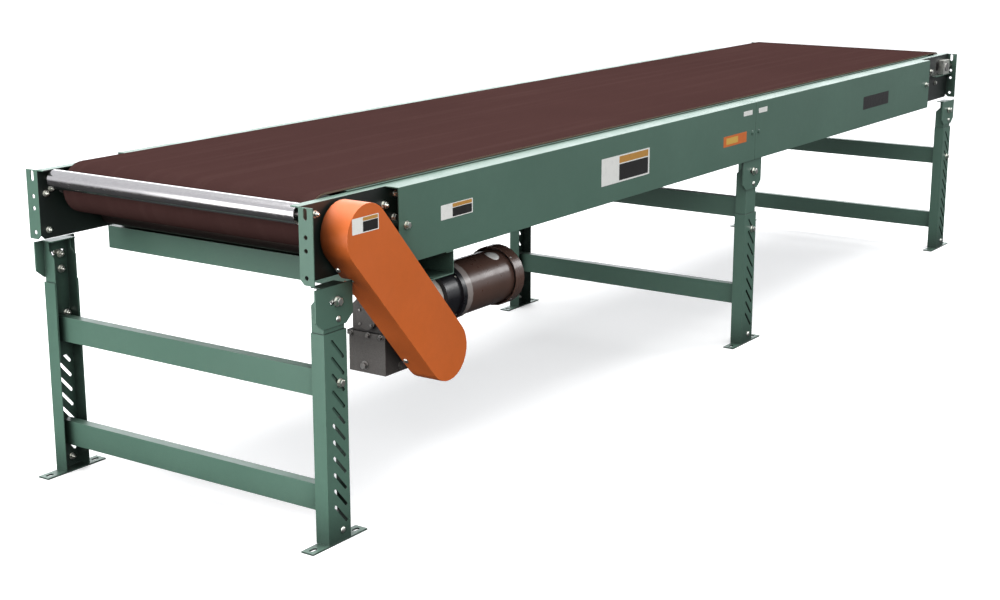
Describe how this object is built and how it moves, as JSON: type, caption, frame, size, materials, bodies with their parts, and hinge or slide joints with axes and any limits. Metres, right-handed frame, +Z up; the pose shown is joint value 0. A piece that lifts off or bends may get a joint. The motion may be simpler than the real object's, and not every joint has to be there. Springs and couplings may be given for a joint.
{
  "type": "belt conveyor section",
  "caption": "Slider-bed belt conveyor on adjustable channel stands, with a chain-driven end pulley under a guard, a right-angle gearmotor and a screw take-up at the tail.",
  "frame": {"origin": "centre of the whole part on the floor, under the middle of its outer box", "axes": "+X along the bed from the drive end to the tail end, +Y across the belt away from the chain guard, +Z up"},
  "size_m": [4.054, 0.9692, 0.799],
  "materials": {
    "green_paint": "semi-gloss powder coat",
    "orange_paint": "semi-gloss powder coat",
    "belt_cover": "matt friction-surface belt",
    "chrome": "polished tube",
    "zinc_plate": "zinc plated",
    "bare_steel": "turned and ground",
    "grey_casting": "painted rough casting",
    "motor_paint": "satin enamel",
    "black_paint": "satin enamel"
  },
  "bodies": {
    "bed": {"bed_pan_drive": "green_paint", "bed_pan_tail": "green_paint", "belt": "belt_cover", "chain_guard_back": "orange_paint", "chain_guard_cover": "orange_paint", "drive_base": "green_paint", "drive_bearing_left": "grey_casting", "drive_bearing_right": "grey_casting", "drive_chain": "bare_steel", "end_bracket_drive_left": "green_paint", "end_bracket_drive_right": "green_paint", "end_bracket_tail_left": "green_paint", "end_bracket_tail_right": "green_paint", "gearbox_housing": "grey_casting", "gearbox_mount": "grey_casting", "motor_adapter": "black_paint", "motor_fan_cover": "motor_paint", "motor_frame": "motor_paint", "nose_roller_axle": "bare_steel", "rail_drive_left": "green_paint", "rail_drive_right": "green_paint", "rail_tail_left": "green_paint", "rail_tail_right": "green_paint", "return_roller_axle": "bare_steel", "snub_roller_axle": "bare_steel", "splice_plate_left": "green_paint", "splice_plate_right": "green_paint", "takeup_screw_left": "zinc_plate", "takeup_screw_right": "zinc_plate", "upper_brace_centre": "green_paint", "upper_brace_drive": "green_paint", "upper_brace_tail": "green_paint", "upper_leg_centre_left": "green_paint", "upper_leg_centre_right": "green_paint", "upper_leg_drive_left": "green_paint", "upper_leg_drive_right": "green_paint", "upper_leg_tail_left": "green_paint", "upper_leg_tail_right": "green_paint"},
    "drive_pulley_body": {"drive_pulley": "bare_steel", "drive_pulley_shaft": "bare_steel", "driven_sprocket": "bare_steel"},
    "output_shaft_body": {"gearbox_output_shaft": "bare_steel", "drive_sprocket": "bare_steel"},
    "rotor_body": {"motor_rotor": "bare_steel"},
    "nose_roller_body": {"nose_roller": "chrome"},
    "snub_roller_body": {"snub_roller": "zinc_plate"},
    "return_roller_body": {"return_roller": "zinc_plate"},
    "takeup_body": {"takeup_block_left": "zinc_plate", "takeup_block_right": "zinc_plate"},
    "tail_pulley_body": {"tail_pulley": "bare_steel", "tail_pulley_shaft": "bare_steel"},
    "stand_drive": {"lower_leg_drive_left": "green_paint", "lower_leg_drive_right": "green_paint", "lower_brace_drive": "green_paint"},
    "stand_centre": {"lower_leg_centre_left": "green_paint", "lower_leg_centre_right": "green_paint", "lower_brace_centre": "green_paint"},
    "stand_tail": {"lower_leg_tail_left": "green_paint", "lower_leg_tail_right": "green_paint", "lower_brace_tail": "green_paint"}
  },
  "joints": [
    {"name": "drive_pulley_spin", "type": "hinge", "parent": "bed", "child": "drive_pulley_body", "pos_m": [-1.881, 0.01835, 0.7352], "axis": [0, 1, 0], "continuous": true},
    {"name": "output_shaft_spin", "type": "hinge", "parent": "bed", "child": "output_shaft_body", "pos_m": [-1.57, 0.01835, 0.38], "axis": [0, 1, 0], "continuous": true},
    {"name": "motor_spin", "type": "hinge", "parent": "bed", "child": "rotor_body", "pos_m": [-1.22, -0.30465, 0.455], "axis": [1, 0, 0], "continuous": true},
    {"name": "nose_roller_spin", "type": "hinge", "parent": "bed", "child": "nose_roller_body", "pos_m": [-1.967, 0.01835, 0.765], "axis": [0, 1, 0], "continuous": true},
    {"name": "snub_roller_spin", "type": "hinge", "parent": "bed", "child": "snub_roller_body", "pos_m": [-1.782, 0.01835, 0.65475], "axis": [0, 1, 0], "continuous": true},
    {"name": "return_roller_spin", "type": "hinge", "parent": "bed", "child": "return_roller_body", "pos_m": [0.45, 0.01835, 0.66235], "axis": [0, 1, 0], "continuous": true},
    {"name": "takeup_slide", "type": "slide", "parent": "bed", "child": "takeup_body", "axis": [1, 0, 0], "range_m": [-0.038, 0]},
    {"name": "tail_pulley_spin", "type": "hinge", "parent": "takeup_body", "child": "tail_pulley_body", "pos_m": [1.913, 0.01835, 0.7429], "axis": [0, 1, 0], "continuous": true},
    {"name": "stand_height_drive", "type": "slide", "parent": "bed", "child": "stand_drive", "axis": [0, 0, 1], "range_m": [-0.1, 0.01]},
    {"name": "stand_height_centre", "type": "slide", "parent": "bed", "child": "stand_centre", "axis": [0, 0, 1], "range_m": [-0.1, 0.01]},
    {"name": "stand_height_tail", "type": "slide", "parent": "bed", "child": "stand_tail", "axis": [0, 0, 1], "range_m": [-0.1, 0.01]}
  ],
  "couplings": [
    {"joint": "output_shaft_spin", "follows": "drive_pulley_spin", "ratio": 1},
    {"joint": "motor_spin", "follows": "drive_pulley_spin", "ratio": 20},
    {"joint": "snub_roller_spin", "follows": "drive_pulley_spin", "ratio": -1.7742},
    {"joint": "return_roller_spin", "follows": "drive_pulley_spin", "ratio": -2.2746},
    {"joint": "tail_pulley_spin", "follows": "drive_pulley_spin", "ratio": 1.1437}
  ]
}
